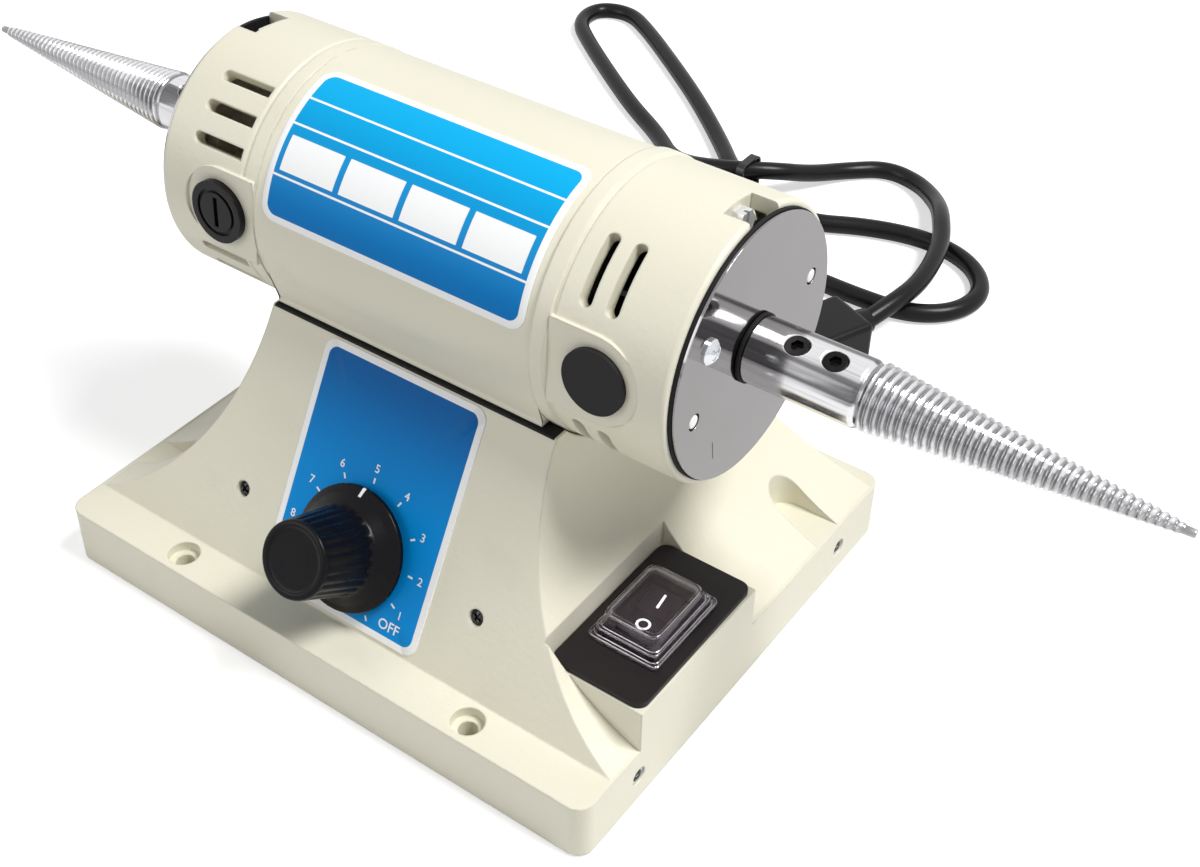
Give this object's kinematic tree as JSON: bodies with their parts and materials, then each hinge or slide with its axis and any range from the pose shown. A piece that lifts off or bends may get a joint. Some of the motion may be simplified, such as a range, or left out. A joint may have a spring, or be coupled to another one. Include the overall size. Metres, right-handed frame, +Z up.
{
  "type": "dental polishing lathe",
  "caption": "Small double-ended bench polishing lathe: a motor in a flared cast base, tapered threaded spindles at both ends, a speed knob and a rocker switch under a clear cover.",
  "frame": {"origin": "centre of the base, on the bench surface that the rubber feet stand on", "axes": "+X along the motor shaft towards the switch side, +Y towards the back where the lead leaves, +Z up; the speed knob faces -Y"},
  "size_m": [0.3984, 0.3999, 0.1494],
  "materials": {
    "cream_paint": "satin powder coat",
    "cover_steel": "zinc-plated sheet",
    "zinc_screws": "zinc-plated",
    "black_screws": "blackened",
    "black_rubber": "matt",
    "blue_label": "printed film",
    "dark_plate": "fine matt",
    "black_plastic": "satin",
    "clear_cover": "clear soft plastic",
    "end_plate": "polished",
    "turned_aluminium": "turned",
    "shaft_steel": "ground",
    "lamination_steel": "oiled",
    "copper": "enamelled wire",
    "brass": "stamped",
    "carbon": "matt",
    "spring_steel": "drawn wire",
    "board_green": "solder mask",
    "component_plastic": "moulded",
    "control_metal": "pressed"
  },
  "bodies": {
    "lathe": {"base_casting": "cream_paint", "bearing_balls": "shaft_steel", "bearing_outer_rings": "shaft_steel", "blank_plugs": "black_plastic", "board_components": "component_plastic", "board_standoffs": "component_plastic", "bottom_cover": "cover_steel", "brush_caps": "black_plastic", "brush_holders": "black_plastic", "brush_springs": "spring_steel", "carbon_brushes": "carbon", "control_bracket": "cover_steel", "cord_tie": "black_rubber", "cradle_pad": "black_rubber", "face_screws": "black_screws", "field_coils": "copper", "foot_screws": "zinc_screws", "heat_sink": "turned_aluminium", "left_end_plate": "end_plate", "left_gasket": "black_rubber", "left_housing": "cream_paint", "motor_label": "blue_label", "motor_shell": "cream_paint", "panel_label": "blue_label", "plate_screws": "zinc_screws", "plug_body": "black_rubber", "plug_pins": "brass", "potentiometer_body": "control_metal", "potentiometer_nut": "control_metal", "power_cord": "black_rubber", "right_end_plate": "end_plate", "right_gasket": "black_rubber", "right_housing": "cream_paint", "rubber_feet": "black_rubber", "saddle_nuts": "zinc_screws", "saddle_screws": "zinc_screws", "side_screws": "black_screws", "speed_board": "board_green", "stator_core": "lamination_steel", "strain_relief": "black_rubber", "switch_body": "black_plastic", "switch_cap": "clear_cover", "switch_plate": "dark_plate", "switch_terminals": "brass", "tie_bolts": "zinc_screws", "tie_nuts": "zinc_screws"},
    "rotor": {"rotor_shaft": "shaft_steel", "armature_core": "lamination_steel", "armature_windings": "copper", "commutator": "copper", "cooling_fan": "black_plastic", "bearing_inner_rings": "shaft_steel", "shaft_washers": "black_rubber", "left_spindle": "turned_aluminium", "right_spindle": "turned_aluminium", "spindle_set_screws": "black_screws"},
    "knob": {"speed_knob": "black_plastic", "potentiometer_shaft": "shaft_steel", "knob_set_screw": "black_screws"},
    "rocker": {"switch_rocker": "black_plastic"}
  },
  "joints": [
    {"name": "rotor_spin", "type": "hinge", "parent": "lathe", "child": "rotor", "pos_m": [0, 0.0062, 0.1107], "axis": [1, 0, 0], "continuous": true},
    {"name": "speed_knob_turn", "type": "hinge", "parent": "lathe", "child": "knob", "pos_m": [0, -0.05382, 0.03911], "axis": [0, -0.8704, 0.4923], "range_deg": [-150, 150]},
    {"name": "switch_rock", "type": "hinge", "parent": "lathe", "child": "rocker", "pos_m": [0.07965, -0.025, 0.0325], "axis": [-1, 0, 0], "range_deg": [0, 18]}
  ]
}
